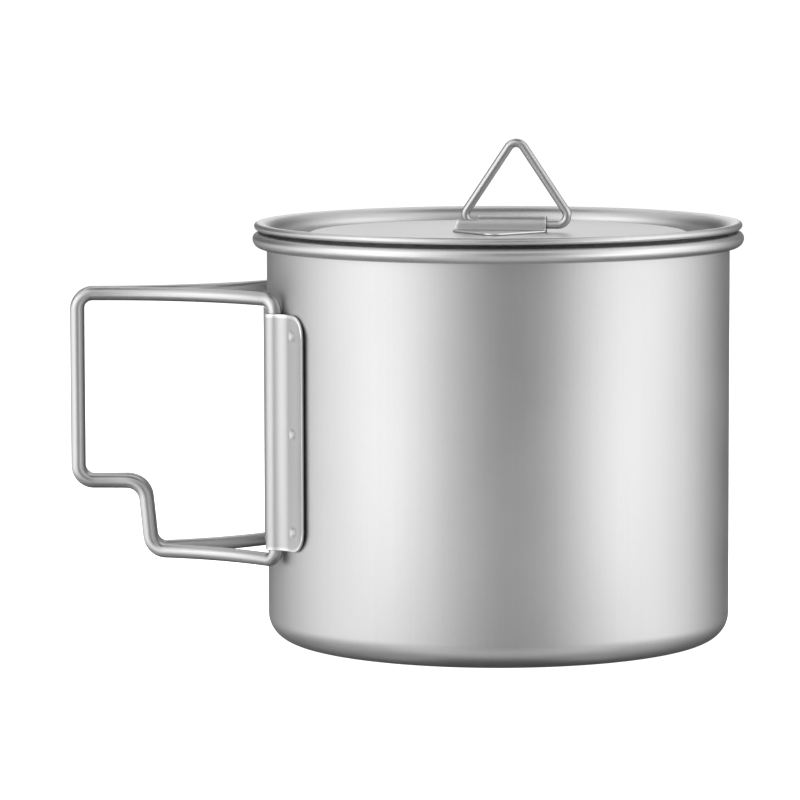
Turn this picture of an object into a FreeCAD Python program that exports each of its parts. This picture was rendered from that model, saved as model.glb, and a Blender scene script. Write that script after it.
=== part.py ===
# A titanium camping pot with a folding wire handle and a lid with a folding ring.
#
# Millimetres. The origin is the centre of the underside of the pot's base, +Z is up, and
# the open handle points to -X. Every sheet part is drawn as a strip of constant thickness
# that runs and bends, as the blank does in the press, and every wire is a round rod that
# follows a path of straight runs and bends.
import FreeCAD, Part
import math
import os
import Sketcher
from FreeCAD import Placement, Rotation, Vector

# --------------------------------------------------------------------- driving dimensions
# Each row is an alias, its value and what it is. Lengths are mm, angles are degrees.
SIZES = [
    ("pot_diameter", "95.8", "outside of the straight wall"),
    ("pot_height", "84.6", "underside of the base to the top of the rolled rim"),
    ("pot_wall", "0.4", "sheet of the pot"),
    ("base_corner", "5.4", "outside radius between base and wall"),
    ("rim_roll_crown", "1.3", "radius of the pot's rolled rim above its widest line"),
    ("rim_roll_belly", "1.8", "radius of the pot's rolled rim below its widest line"),
    ("rim_roll_reach", "2.95", "how far the rolled rim stands out from the wall"),
    ("roll_tuck_angle", "30", "how far past its underside a roll's cut edge turns up"),

    ("lid_wall", "0.4", "sheet of the lid"),
    ("lid_play", "0.3", "gap between the lid's skirt and the pot's mouth"),
    ("lid_seat_gap", "0.6", "gap between the lid's roll and the pot's roll"),
    ("lid_roll_height", "1.5", "height of the lid's rolled edge"),
    ("lid_roll_inset", "0.35", "how far the lid's roll stays inside the pot's roll"),
    ("plateau_diameter", "77.2", "flat raised middle of the lid"),
    ("plateau_drop", "2.25", "top of the lid's roll down to the plateau"),
    ("groove_depth", "2.95", "plateau down to the floor of the groove round it"),
    ("groove_angle", "60", "slope from the plateau into the groove"),
    ("lid_bend", "0.6", "inside bend radius of the pressed lid"),

    ("ring_wire", "1.8", "wire of the lid's ring"),
    ("ring_width", "23.0", "outside width of the ring"),
    ("ring_rise", "16.85", "base of the ring to its tip, wire centre to wire centre"),
    ("ring_bend", "1.9", "bend radius of the ring at the centre of the wire"),
    ("ring_shift", "3.8", "how far the ring is pushed sideways into its lock"),
    ("ring_cut", "0.4", "gap between the wire's two ends inside the clip"),
    ("ring_play", "0.15", "gap between the ring's wire and the clip's bore"),

    ("clip_wall", "0.5", "sheet of the clip that holds the ring"),
    ("clip_length", "19.3", "length of the clip's bore and width of its flange"),
    ("clip_side_angle", "50", "angle between the flange's sides and its bend line"),
    ("clip_tip", "2.5", "radius of the flange's tip"),
    ("clip_turn_angle", "9", "how far the clip and its ring are turned on the lid"),
    ("clip_bend", "0.3", "inside bend radius where the flange turns up"),
    ("clip_lift", "0.05", "gap between the clip's bore and the lid"),
    ("clip_tuck_angle", "70", "how far past its back the clip's roll turns under"),
    ("notch_length", "4.95", "length of the lock notch at the clip's left end"),
    ("notch_lip", "0.55", "how far the front wall at the notch ends below the roll's top"),
    ("clip_weld_size", "2.0", "diameter of a spot weld on the clip"),
    ("clip_weld_spread", "8.4", "distance between the clip's two spot welds"),
    ("clip_weld_out", "4.2", "clip's bend line out to its spot welds"),

    ("handle_wire", "2.8", "wire of the handles"),
    ("hinge_angle", "22", "angle from -X to a handle's hinge, round the pot"),
    ("pin_gap", "0.15", "gap between a handle's hinge pin and the pot"),
    ("barrel_play", "0.1", "gap between a hinge pin and the bracket's barrel"),
    ("fold_gap", "0.4", "gap between a folded handle's arm and the pot"),
    ("grip_gap", "0.3", "gap between the two handles when they are open"),
    ("arm_angle", "45.6", "angle that a handle's arm bends through, seen from above"),
    ("arm_lead", "3.4", "straight end of an arm beside the hinge and the grip"),
    ("step_level", "32.9", "height of the step that the little finger rests on"),
    ("riser_angle", "32.8", "where along the arm's bend the step's riser stands"),
    ("riser_lean", "1.5", "how far the riser's top stands out past its foot"),
    ("hinge_bend", "2.75", "bend radius above the bracket, beside the hinge pin"),
    ("low_hinge_bend", "2.25", "bend radius below the bracket, beside the hinge pin"),
    ("grip_bend", "3.3", "bend radius at the two ends of the grip"),
    ("step_bend", "4.0", "bend radius at the top of the riser"),
    ("foot_bend", "3.4", "bend radius at the foot of the riser"),
    ("pin_cut", "2.0", "gap between a handle's two pin ends inside the barrel"),

    ("bracket_wall", "0.6", "sheet of the hinge bracket"),
    ("bracket_bottom", "20.75", "height of the bracket's lower edge"),
    ("bracket_height", "48.5", "length of the bracket's barrels"),
    ("bracket_seat", "0.15", "gap between the bracket and the pot's wall"),
    ("bracket_bend", "0.5", "inside bend radius where a barrel meets the wall"),
    ("flange_angle", "34.1", "angle from -X to the bracket's edge"),
    ("flange_corner", "4.5", "corner radius of the bracket's flanges"),
    ("weld_angle", "29.5", "angle from -X to a row of spot welds"),
    ("weld_pitch", "20.05", "height between the spot welds of a row"),
    ("weld_size", "2.8", "diameter of a spot weld on the bracket"),
    ("weld_sink", "0.15", "how far a spot weld lies below the sheet's face"),
]

TINY = 1e-6  # mm, two places closer than this are the same place

doc = FreeCAD.newDocument("camping_pot")
sheet = doc.addObject("Spreadsheet::Sheet", "dim")
for row, (alias, value, meaning) in enumerate(SIZES, start=1):
    sheet.set(f"A{row}", meaning)
    sheet.set(f"B{row}", value)
    sheet.setAlias(f"B{row}", alias)
doc.recompute()


def value_of(expression):
    """The number that an expression over the sheet gives."""
    result = sheet.evalExpression(expression)
    return float(getattr(result, "Value", result))


def size(alias):
    """The number in one cell of the sheet."""
    return value_of(f"dim.{alias}")


# ----------------------------------------------------- shared lines, as expressions
POT_RADIUS = "dim.pot_diameter / 2"
ROLL_RADIUS = f"({POT_RADIUS} + dim.rim_roll_reach)"
LID_TOP = "(dim.pot_height + dim.lid_seat_gap + dim.lid_roll_height)"
PLATEAU_TOP = f"({LID_TOP} - dim.plateau_drop)"
RING_BORE = "(dim.ring_wire / 2 + dim.ring_play)"
RING_AXIS = f"({PLATEAU_TOP} + dim.clip_lift + dim.clip_wall + {RING_BORE})"
CLIP_BEND_LINE = f"({RING_BORE} + dim.clip_wall + dim.clip_bend)"
PIN_CIRCLE = f"({POT_RADIUS} + dim.pin_gap + dim.handle_wire / 2)"
BRACKET_FACE = f"({POT_RADIUS} + dim.bracket_seat)"
BRACKET_MIDDLE = "(dim.bracket_bottom + dim.bracket_height / 2)"
TOP_ARM_LEVEL = "(dim.bracket_bottom + dim.bracket_height + dim.hinge_bend)"
LOW_ARM_LEVEL = "(dim.bracket_bottom - dim.low_hinge_bend)"


# ------------------------------------------------------------------------ sketch helpers
def new_body(label):
    body = doc.addObject("PartDesign::Body", label)
    body.Label = label
    return body


def sketch_on(body, role, name, offset=None):
    """A sketch on one of the body's own origin planes, lifted off it by an expression."""
    sketch = body.newObject("Sketcher::SketchObject", name)
    planes = [plane for plane in body.Origin.OriginFeatures if plane.Role == role]
    sketch.AttachmentSupport = [(planes[0], "")]
    sketch.MapMode = "FlatFace"
    if offset is not None:
        sketch.setExpression("AttachmentOffset.Base.z", offset)
    return sketch


def bind(sketch, constraint, expression):
    """Add a dimension and tie it to the sheet."""
    index = sketch.addConstraint(constraint)
    sketch.setExpression(f"Constraints[{index}]", expression)


def place_point(sketch, edge, end, across, up):
    """Fix a point of the sketch at two expressions from its origin."""
    bind(sketch, Sketcher.Constraint("DistanceX", -1, 1, edge, end, value_of(across)), across)
    bind(sketch, Sketcher.Constraint("DistanceY", -1, 1, edge, end, value_of(up)), up)


def polar(angle, length=1.0):
    """Vector in the plane, from an angle in degrees."""
    turn = math.radians(angle)
    return Vector(length * math.cos(turn), length * math.sin(turn), 0)


def trace(sketch, start, heading, steps, side=0.0, side_text="0"):
    """Draw a chain of runs and bends, tangent to each other, and return its edges.

    A step is ("run", length) or ("bend", radius, turn), in expressions, and a turn to the
    left is positive. side moves the whole chain to its left, as a sheet's other face.
    """
    edges = []
    here = start
    angle = heading
    for step in steps:
        previous = edges[-1] if edges else None
        if step[0] == "run":
            there = here + polar(angle, value_of(step[1]))
            edge = sketch.addGeometry(Part.LineSegment(here, there), False)
            first, last = 1, 2
            length = Sketcher.Constraint("Distance", edge, value_of(step[1]))
            bind(sketch, length, step[1])
        else:
            turn = value_of(step[2])
            left = turn > 0
            radius = value_of(step[1]) + (-side if left else side)
            radius_text = f"{step[1]} {'-' if left else '+'} {side_text}"
            centre = here + polar(angle + (90 if left else -90), radius)
            spoke = angle + (-90 if left else 90)
            spokes = sorted((spoke, spoke + turn))
            circle = Part.Circle(centre, Vector(0, 0, 1), radius)
            arc = Part.ArcOfCircle(circle, math.radians(spokes[0]), math.radians(spokes[1]))
            edge = sketch.addGeometry(arc, False)
            first, last = (1, 2) if left else (2, 1)
            there = centre + polar(spoke + turn, radius)
            angle += turn
            bind(sketch, Sketcher.Constraint("Radius", edge, radius), radius_text)
            sweep = Sketcher.Constraint("Angle", edge, math.radians(abs(turn)))
            bind(sketch, sweep, step[2] if left else f"-1 * ({step[2]})")
        if previous is not None:
            joint = Sketcher.Constraint("Tangent", previous[0], previous[2], edge, first)
            sketch.addConstraint(joint)
        edges.append((edge, first, last))
        here = there
    return edges, here


def draw_strip(sketch, start, heading, steps, thickness):
    """Draw the closed outline of a bent sheet. The steps follow its right-hand face."""
    across, up = start
    thick = value_of(thickness)
    corner = Vector(value_of(across), value_of(up), 0)
    far_corner = corner + polar(value_of(heading) + 90, thick)
    cap = sketch.addGeometry(Part.LineSegment(corner, far_corner), False)
    place_point(sketch, cap, 1, across, up)
    bind(sketch, Sketcher.Constraint("Distance", cap, thick), thickness)
    tilt = math.radians(value_of(heading) + 90)
    bind(sketch, Sketcher.Constraint("Angle", cap, tilt), f"{heading} + 90 deg")
    right, right_end = trace(sketch, corner, value_of(heading), steps)
    left, left_end = trace(sketch, far_corner, value_of(heading), steps, thick, thickness)
    for cap_end, chain in ((1, right), (2, left)):
        edge, first, _ = chain[0]
        sketch.addConstraint(Sketcher.Constraint("Perpendicular", cap, cap_end, edge, first))
    close = sketch.addGeometry(Part.LineSegment(right_end, left_end), False)
    for cap_end, chain in ((1, right), (2, left)):
        edge, _, last = chain[-1]
        sketch.addConstraint(Sketcher.Constraint("Coincident", close, cap_end, edge, last))


def draw_polygon(sketch, corners):
    """Draw a closed polygon whose corners are pairs of expressions."""
    points = [Vector(value_of(across), value_of(up), 0) for across, up in corners]
    edges = []
    for index, point in enumerate(points):
        following = points[(index + 1) % len(points)]
        edges.append(sketch.addGeometry(Part.LineSegment(point, following), False))
    for index, edge in enumerate(edges):
        following = edges[(index + 1) % len(edges)]
        sketch.addConstraint(Sketcher.Constraint("Coincident", edge, 2, following, 1))
        place_point(sketch, edge, 1, *corners[index])


def revolve(body, sketch, name):
    """Turn a sketch once round the body's Z axis."""
    feature = body.newObject("PartDesign::Revolution", name)
    feature.Profile = sketch
    feature.ReferenceAxis = (sketch, ["V_Axis"])
    feature.Angle = 360
    return feature


def pad(body, sketch, name, length, centred=False):
    feature = body.newObject("PartDesign::Pad", name)
    feature.Profile = sketch
    feature.setExpression("Length", length)
    feature.Midplane = centred
    return feature


# ----------------------------------------------------------------------- pot and lid
def rolled_edge(inner, outer, crown, belly, wall):
    """Steps of an edge that is rolled outwards and down, on the sheet's underside face.

    inner is that face's radius on the straight wall, outer is the roll's outer radius.
    crown and belly are the roll's radii above and below its widest line, and its inner
    half is as wide as the space leaves.
    """
    wide = f"({outer} - {crown} - {inner})"
    steps = [
        ("bend", wide, "-90 deg"),
        ("bend", f"({crown} - {wall})", "-90 deg"),
        ("bend", f"({belly} - {wall})", "-90 deg"),
        ("bend", f"({belly} - {wall})", "-1 deg * dim.roll_tuck_angle"),
    ]
    return wide, steps


def make_pot_body():
    body = new_body("pot_body")
    sketch = sketch_on(body, "XZ_Plane", "pot_section")
    radii = ("dim.rim_roll_crown", "dim.rim_roll_belly")
    wide, roll = rolled_edge(POT_RADIUS, ROLL_RADIUS, *radii, "dim.pot_wall")
    steps = [
        ("run", f"{POT_RADIUS} - dim.base_corner"),
        ("bend", "dim.base_corner", "90 deg"),
        ("run", f"dim.pot_height - dim.pot_wall - {wide} - dim.base_corner"),
    ]
    draw_strip(sketch, ("0", "0"), "0 deg", steps + roll, "dim.pot_wall")
    revolve(body, sketch, "pot_drawing")
    return body


def make_lid_pan():
    body = new_body("lid_pan")
    sketch = sketch_on(body, "XZ_Plane", "lid_section")
    skirt = f"({POT_RADIUS} - dim.pot_wall - dim.lid_play)"
    edge = f"({ROLL_RADIUS} - dim.lid_roll_inset)"
    round_radius = "(dim.lid_roll_height / 2)"
    wide, roll = rolled_edge(skirt, edge, round_radius, round_radius, "dim.lid_wall")
    outer_bend = "(dim.lid_bend + dim.lid_wall)"
    both_bends = f"(dim.lid_bend + {outer_bend})"
    slope = "dim.groove_angle"
    slope_run = f"((dim.groove_depth - {both_bends} * (1 - cos({slope}))) / sin({slope}))"
    slope_width = f"({both_bends} * sin({slope}) + {slope_run} * cos({slope}))"
    plateau = "dim.plateau_diameter / 2"
    steps = [
        ("run", plateau),
        ("bend", "dim.lid_bend", f"-1 deg * {slope}"),
        ("run", slope_run),
        ("bend", outer_bend, f"1 deg * {slope}"),
        ("run", f"{skirt} - {outer_bend} - {slope_width} - {plateau}"),
        ("bend", outer_bend, "90 deg"),
        ("run", f"dim.plateau_drop + dim.groove_depth - {wide} - {outer_bend}"),
    ]
    start = ("0", f"{PLATEAU_TOP} - dim.lid_wall")
    draw_strip(sketch, start, "0 deg", steps + roll, "dim.lid_wall")
    revolve(body, sketch, "lid_pressing")
    return body


# ------------------------------------------------------------------------ clip and ring
def cylinder_at(name, diameter, height, base, axis):
    """A cylinder whose size and foot are expressions and whose axis is a vector."""
    cylinder = doc.addObject("Part::Cylinder", name)
    cylinder.setExpression("Radius", f"{diameter} / 2")
    cylinder.setExpression("Height", height)
    cylinder.Placement = Placement(Vector(), Rotation(Vector(0, 0, 1), axis))
    for letter, expression in zip("xyz", base):
        cylinder.setExpression(f"Placement.Base.{letter}", expression)
    return cylinder


def compound(name, pieces):
    group = doc.addObject("Part::Compound", name)
    group.Links = pieces
    return group


def boolean(kind, label, base, tool):
    feature = doc.addObject(f"Part::{kind}", label)
    feature.Base = base
    feature.Tool = tool
    feature.Label = label
    return feature


def tip_edge(shape):
    """Name of the flange's upright edge at the point of its triangle."""
    nearest = min(edge.CenterOfMass.y for edge in shape.Edges)
    names = []
    for index, edge in enumerate(shape.Edges, start=1):
        if abs(edge.CenterOfMass.y - nearest) < TINY:
            names.append(f"Edge{index}")
    return names


def make_clip_body():
    body = new_body("clip_blank")
    flange = sketch_on(body, "XY_Plane", "flange_outline", PLATEAU_TOP)
    half = "dim.clip_length / 2"
    point_out = f"({CLIP_BEND_LINE} + {half} * tan(dim.clip_side_angle))"
    draw_polygon(flange, [
        (f"-1 * {half}", f"-1 * {CLIP_BEND_LINE}"),
        ("0", f"-1 * {point_out}"),
        (half, f"-1 * {CLIP_BEND_LINE}"),
    ])
    triangle = pad(body, flange, "flange", "dim.clip_wall")
    doc.recompute()
    tip = body.newObject("PartDesign::Fillet", "flange_tip")
    tip.Base = (triangle, tip_edge(triangle.Shape))
    tip.setExpression("Radius", "dim.clip_tip")
    body.Tip = tip

    roll = sketch_on(body, "YZ_Plane", "roll_section")
    rise = f"{RING_AXIS} - {PLATEAU_TOP} - dim.clip_bend - dim.clip_wall"
    steps = [
        ("bend", "(dim.clip_bend + dim.clip_wall)", "90 deg"),
        ("run", rise),
        ("bend", RING_BORE, "-180 deg"),
        ("bend", RING_BORE, "-1 deg * dim.clip_tuck_angle"),
    ]
    start = (f"-1 * {CLIP_BEND_LINE}", PLATEAU_TOP)
    draw_strip(roll, start, "0 deg", steps, "dim.clip_wall")
    pad(body, roll, "roll", "dim.clip_length", centred=True)

    notch = sketch_on(body, "YZ_Plane", "notch_outline", "-1 * dim.clip_length / 2")
    roll_radius = f"({RING_BORE} + dim.clip_wall)"
    front = f"-2 * {roll_radius}"
    back = f"2 * {roll_radius}"
    lip = f"{RING_AXIS} + {roll_radius} - dim.notch_lip"
    over = f"{RING_AXIS} + 2 * {roll_radius}"
    draw_polygon(notch, [
        (front, lip),
        (f"-1 * {RING_BORE}", lip),
        (f"-1 * {RING_BORE}", PLATEAU_TOP),
        (back, PLATEAU_TOP),
        (back, over),
        (front, over),
    ])
    pocket = body.newObject("PartDesign::Pocket", "lock_notch")
    pocket.Profile = notch
    pocket.setExpression("Length", "dim.notch_length")
    pocket.Reversed = True
    return body


def turn_on_lid(feature):
    """Turn a piece about the pot's axis, clockwise from above, to where it is welded on."""
    axis = Vector(0, 0, -1)
    feature.Placement = Placement(Vector(), Rotation(axis, size("clip_turn_angle")))
    feature.setExpression("Placement.Rotation.Angle", "1 deg * dim.clip_turn_angle")


def make_clip():
    """The clip and its two spot welds, which fill holes through the clip's flange."""
    blank = make_clip_body()
    out = f"-1 * ({CLIP_BEND_LINE} + dim.clip_weld_out)"
    up = Vector(0, 0, 1)
    nuggets = []
    drills = []
    for side in ("-1", "1"):
        base = (f"{side} * dim.clip_weld_spread / 2", out, PLATEAU_TOP)
        depth = "dim.clip_wall - dim.weld_sink"
        nuggets.append(cylinder_at("clip_nugget", "dim.clip_weld_size", depth, base, up))
        through = "2 * dim.clip_wall"
        drills.append(cylinder_at("clip_drill", "dim.clip_weld_size", through, base, up))
    clip = boolean("Cut", "lid_clip", blank, compound("clip_drills", drills))
    welds = compound("clip_spot_welds", nuggets)
    welds.Label = "clip_spot_welds"
    turn_on_lid(clip)
    turn_on_lid(welds)
    return clip, welds


def make_ring():
    """The ring: a wire bent to a triangle, whose two ends lie inside the clip's bore."""
    body = new_body("lid_ring")
    path = sketch_on(body, "XZ_Plane", "ring_path")
    reach = "((dim.ring_width - dim.ring_wire) / 2 - dim.ring_bend)"
    rise = "(dim.ring_rise - 2 * dim.ring_bend)"
    leg_angle = f"atan({rise} / {reach})"
    leg = f"sqrt({reach} ^ 2 + {rise} ^ 2)"
    steps = [
        ("run", f"{reach} - dim.ring_cut / 2"),
        ("bend", "dim.ring_bend", f"180 deg - {leg_angle}"),
        ("run", leg),
        ("bend", "dim.ring_bend", f"2 * {leg_angle}"),
        ("run", leg),
        ("bend", "dim.ring_bend", f"180 deg - {leg_angle}"),
        ("run", f"{reach} - dim.ring_cut / 2"),
    ]
    across = "dim.ring_shift + dim.ring_cut / 2"
    start = Vector(value_of(across), value_of(RING_AXIS), 0)
    edges, _ = trace(path, start, 0, steps)
    place_point(path, edges[0][0], 1, across, RING_AXIS)
    path.addConstraint(Sketcher.Constraint("Horizontal", edges[0][0]))

    section = sketch_on(body, "YZ_Plane", "ring_section", across)
    radius = size("ring_wire") / 2
    circle = Part.Circle(Vector(0, value_of(RING_AXIS), 0), Vector(0, 0, 1), radius)
    wire = section.addGeometry(circle, False)
    place_point(section, wire, 3, "0", RING_AXIS)
    bind(section, Sketcher.Constraint("Radius", wire, radius), "dim.ring_wire / 2")
    doc.recompute()

    pipe = body.newObject("PartDesign::AdditivePipe", "ring_wire")
    pipe.Profile = section
    pipe.Spine = (path, [f"Edge{index + 1}" for index in range(len(steps))])
    turn_on_lid(body)
    return body


# --------------------------------------------------------------------- handle bracket
def triangle_angle(beside, also_beside, opposite):
    """Expression for a triangle's angle from its three sides."""
    squares = f"({beside} ^ 2 + {also_beside} ^ 2 - {opposite} ^ 2)"
    return f"acos({squares} / (2 * {beside} * {also_beside}))"


def corner_edges(shape, wall):
    """Names of the short straight edges at the corners of the bracket's flanges."""
    names = []
    low, high = shape.BoundBox.ZMin, shape.BoundBox.ZMax
    for index, edge in enumerate(shape.Edges, start=1):
        middle = edge.CenterOfMass
        at_end = min(abs(middle.z - low), abs(middle.z - high)) < TINY
        across_sheet = abs(edge.Length - wall) < TINY
        if at_end and across_sheet and edge.Curve.TypeId == "Part::GeomLine":
            names.append(f"Edge{index}")
    return names


def make_bracket_body():
    """The bracket, one sheet that hugs the wall and makes a barrel round each hinge pin."""
    body = new_body("bracket_blank")
    sketch = sketch_on(body, "XY_Plane", "bracket_section", "dim.bracket_bottom")
    bore = "(dim.handle_wire / 2 + dim.barrel_play)"
    lip = "(dim.bracket_bend + dim.bracket_wall)"
    to_lip = f"({BRACKET_FACE} + {lip})"
    lip_to_pin = f"({bore} + {lip})"
    pin_to_lip_angle = triangle_angle(PIN_CIRCLE, to_lip, lip_to_pin)
    lip_turn = triangle_angle(to_lip, lip_to_pin, PIN_CIRCLE)
    barrel = [
        ("bend", lip, lip_turn),
        ("bend", bore, f"-2 * ({pin_to_lip_angle} + {lip_turn})"),
        ("bend", lip, lip_turn),
    ]
    flange_turn = f"-1 deg * (dim.flange_angle - dim.hinge_angle) + {pin_to_lip_angle}"
    web_turn = f"-2 deg * dim.hinge_angle + 2 * {pin_to_lip_angle}"
    flange = ("bend", BRACKET_FACE, flange_turn)
    web = ("bend", BRACKET_FACE, web_turn)
    start = (
        f"-1 * {BRACKET_FACE} * cos(dim.flange_angle)",
        f"-1 * {BRACKET_FACE} * sin(dim.flange_angle)",
    )
    steps = [flange] + barrel + [web] + barrel + [flange]
    heading = "90 deg + 1 deg * dim.flange_angle"
    draw_strip(sketch, start, heading, steps, "dim.bracket_wall")
    bent_sheet = pad(body, sketch, "bracket_sheet", "dim.bracket_height")
    doc.recompute()

    corners = body.newObject("PartDesign::Fillet", "flange_corners")
    corners.Base = (bent_sheet, corner_edges(bent_sheet.Shape, size("bracket_wall")))
    corners.setExpression("Radius", "dim.flange_corner")
    body.Tip = corners
    return body


def make_bracket():
    """The bracket and its six spot welds, which fill holes through its flanges."""
    blank = make_bracket_body()
    drills = []
    for side in (-1, 1):
        axis = polar(180 + side * size("weld_angle"))
        for level in (-1, 0, 1):
            base = (
                f"-1 * cos(dim.weld_angle) * ({POT_RADIUS} - dim.bracket_wall)",
                f"{-side} * sin(dim.weld_angle) * ({POT_RADIUS} - dim.bracket_wall)",
                f"{BRACKET_MIDDLE} + {level} * dim.weld_pitch",
            )
            length = "3 * dim.bracket_wall"
            drills.append(cylinder_at("weld_drill", "dim.weld_size", length, base, axis))
    group = compound("weld_drills", drills)
    bracket = boolean("Cut", "handle_bracket", blank, group)

    tubes = []
    outer = f"2 * ({BRACKET_FACE} + dim.bracket_wall - dim.weld_sink)"
    for diameter in (outer, "dim.pot_diameter"):
        base = ("0", "0", "dim.bracket_bottom")
        height = "dim.bracket_height"
        tubes.append(cylinder_at("weld_layer", diameter, height, base, Vector(0, 0, 1)))
    layer = boolean("Cut", "weld_layers", *tubes)
    welds = boolean("Common", "bracket_spot_welds", group, layer)
    return bracket, welds


# ---------------------------------------------------------------------------- handles
def rounded_path(points, radii):
    """A wire of straight runs through the points, with a tangent arc at each inner one."""
    edges = []
    here = points[0]
    for before, corner, after, radius in zip(points, points[1:], points[2:], radii):
        back = (before - corner).normalize()
        ahead = (after - corner).normalize()
        half_turn = (math.pi - back.getAngle(ahead)) / 2
        reach = radius * math.tan(half_turn)
        first = corner + back * reach
        last = corner + ahead * reach
        centre = corner + (back + ahead).normalize() * (radius / math.cos(half_turn))
        middle = centre + (corner - centre).normalize() * radius
        if (first - here).Length > TINY:
            edges.append(Part.LineSegment(here, first).toShape())
        edges.append(Part.Arc(first, middle, last).toShape())
        here = last
    edges.append(Part.LineSegment(here, points[-1]).toShape())
    return Part.Wire(edges)


def handle_points():
    """Corners of the right handle's path and the bend radius at each inner corner.

    Seen from above, an arm is an arc with a short straight end at the hinge and another at
    the grip. The arc's radius is that of the pot, so the arm hugs the wall when it is
    folded. The open handle is turned about its hinge until its arm passes the other
    handle's arm with the grip gap between them.
    """
    wire = size("handle_wire") / 2
    radius = size("pot_diameter") / 2 + size("fold_gap") + wire
    lead = size("arm_lead")
    hinge = polar(180 + size("hinge_angle"), value_of(PIN_CIRCLE))
    to_centre = math.hypot(radius, lead)
    drop = radius + wire + size("grip_gap") / 2 + hinge.y
    centre_angle = 180 + math.degrees(math.asin(drop / to_centre))
    heading = centre_angle - math.degrees(math.acos(lead / to_centre))
    centre = hinge + polar(centre_angle, to_centre)
    turn = size("arm_angle")

    def tangent_corner(low, high):
        """Where the arc's tangents at two of its angles meet."""
        half = (high - low) / 2
        out = radius / math.cos(math.radians(half))
        return centre + polar(heading - 90 + low + half, out)

    grip = centre + polar(heading - 90 + turn, radius) + polar(heading + turn, lead)
    rise = size("step_level") - value_of(LOW_ARM_LEVEL)
    lean = size("riser_lean")
    riser_slope = math.atan2(rise, lean)
    riser_bend = max(size("step_bend"), size("foot_bend")) * math.tan(riser_slope / 2)
    half_gap = math.degrees(math.atan((lean / 2 + riser_bend) / radius))
    riser = size("riser_angle")
    foot_end = riser - half_gap
    step_end = riser + half_gap
    riser_corner = tangent_corner(foot_end, step_end)
    foot = riser_corner - polar(heading + foot_end, lean / 2)
    step = riser_corner + polar(heading + step_end, lean / 2)

    top = Vector(0, 0, value_of(TOP_ARM_LEVEL))
    middle = Vector(0, 0, size("step_level"))
    low = Vector(0, 0, value_of(LOW_ARM_LEVEL))
    pin_middle = value_of(BRACKET_MIDDLE)
    half_cut = size("pin_cut") / 2
    corners = [
        (hinge + Vector(0, 0, pin_middle + half_cut), None),
        (hinge + top, size("hinge_bend")),
        (tangent_corner(0, turn) + top, radius),
        (grip + top, size("grip_bend")),
        (grip + middle, size("grip_bend")),
        (tangent_corner(step_end, turn) + middle, radius),
        (step + middle, size("step_bend")),
        (foot + low, size("foot_bend")),
        (tangent_corner(0, foot_end) + low, radius),
        (hinge + low, size("low_hinge_bend")),
        (hinge + Vector(0, 0, pin_middle - half_cut), None),
    ]
    points = [point for point, _ in corners]
    radii = [bend for _, bend in corners if bend is not None]
    return points, radii


def make_handles():
    """The right handle, one bent wire, and the left one, its mirror image."""
    path = rounded_path(*handle_points())
    radius = size("handle_wire") / 2
    circle = Part.Circle(path.OrderedVertexes[0].Point, Vector(0, 0, 1), radius)
    section = Part.Wire([circle.toShape()])
    right = doc.addObject("Part::Feature", "right_handle")
    right.Shape = path.makePipeShell([section], True, False)
    right.Label = "right_handle"
    wanted = math.pi * radius ** 2 * path.Length
    print("handle wire", round(path.Length, 2), "mm long, volume", round(right.Shape.Volume, 2))
    assert abs(right.Shape.Volume - wanted) < 0.001 * wanted
    left = doc.addObject("Part::Mirroring", "left_handle")
    left.Source = right
    left.Normal = Vector(0, 1, 0)
    left.Label = "left_handle"
    return right, left


# ------------------------------------------------------------------------- assembly
def main():
    parts = [make_pot_body(), make_lid_pan()]
    parts += make_clip()
    parts.append(make_ring())
    parts += make_bracket()
    parts += make_handles()
    doc.recompute()

    failed = [item.Name for item in doc.Objects if {"Invalid", "Error"} & set(item.State)]
    assert not failed, failed
    for part in parts:
        assert not part.Shape.isNull() and part.Shape.isValid(), part.Label

    os.makedirs("parts", exist_ok=True)
    for part in parts:
        part.Shape.exportStep(f"parts/{part.Label}.step")
        box = part.Shape.BoundBox
        corners = [box.XMin, box.YMin, box.ZMin, box.XMax, box.YMax, box.ZMax]
        numbers = [round(number, 2) for number in corners]
        volume = round(part.Shape.Volume, 2)
        print(part.Label, len(part.Shape.Solids), "solids", volume, "mm3", numbers)


main()
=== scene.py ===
# %% [markdown]
# # A camping pot with folding wire handles
#
# The real pot is thin titanium sheet and titanium wire, and nothing else. A deep-drawn pot
# carries a bent sheet bracket, in which two wire handles turn, and a pressed lid carries a
# small clip with a triangular wire ring. Everything has the same fine blasted finish, so
# three things make its look: the roundness of its rolled edges, the crispness of its sheet
# edges, and the way that soft light runs over satin metal.
#
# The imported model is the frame. It says where everything is, in metres.

# %% Load the frame
import bisect
import math

import bmesh
import bpy
from mathutils import Matrix, Vector


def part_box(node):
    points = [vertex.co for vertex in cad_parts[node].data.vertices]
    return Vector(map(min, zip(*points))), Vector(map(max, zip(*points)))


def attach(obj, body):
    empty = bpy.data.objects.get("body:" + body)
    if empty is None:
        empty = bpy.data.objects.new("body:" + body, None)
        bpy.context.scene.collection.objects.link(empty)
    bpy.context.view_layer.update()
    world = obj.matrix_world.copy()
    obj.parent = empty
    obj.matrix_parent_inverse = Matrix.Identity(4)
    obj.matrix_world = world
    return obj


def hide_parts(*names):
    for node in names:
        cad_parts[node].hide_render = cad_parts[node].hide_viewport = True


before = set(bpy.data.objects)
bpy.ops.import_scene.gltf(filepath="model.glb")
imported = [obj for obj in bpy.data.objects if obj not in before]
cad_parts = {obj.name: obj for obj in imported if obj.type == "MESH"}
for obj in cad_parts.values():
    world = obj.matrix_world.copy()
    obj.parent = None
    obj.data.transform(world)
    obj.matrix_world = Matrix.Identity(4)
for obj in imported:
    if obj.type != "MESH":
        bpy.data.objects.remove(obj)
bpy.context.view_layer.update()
print("nodes", sorted(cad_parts))

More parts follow.
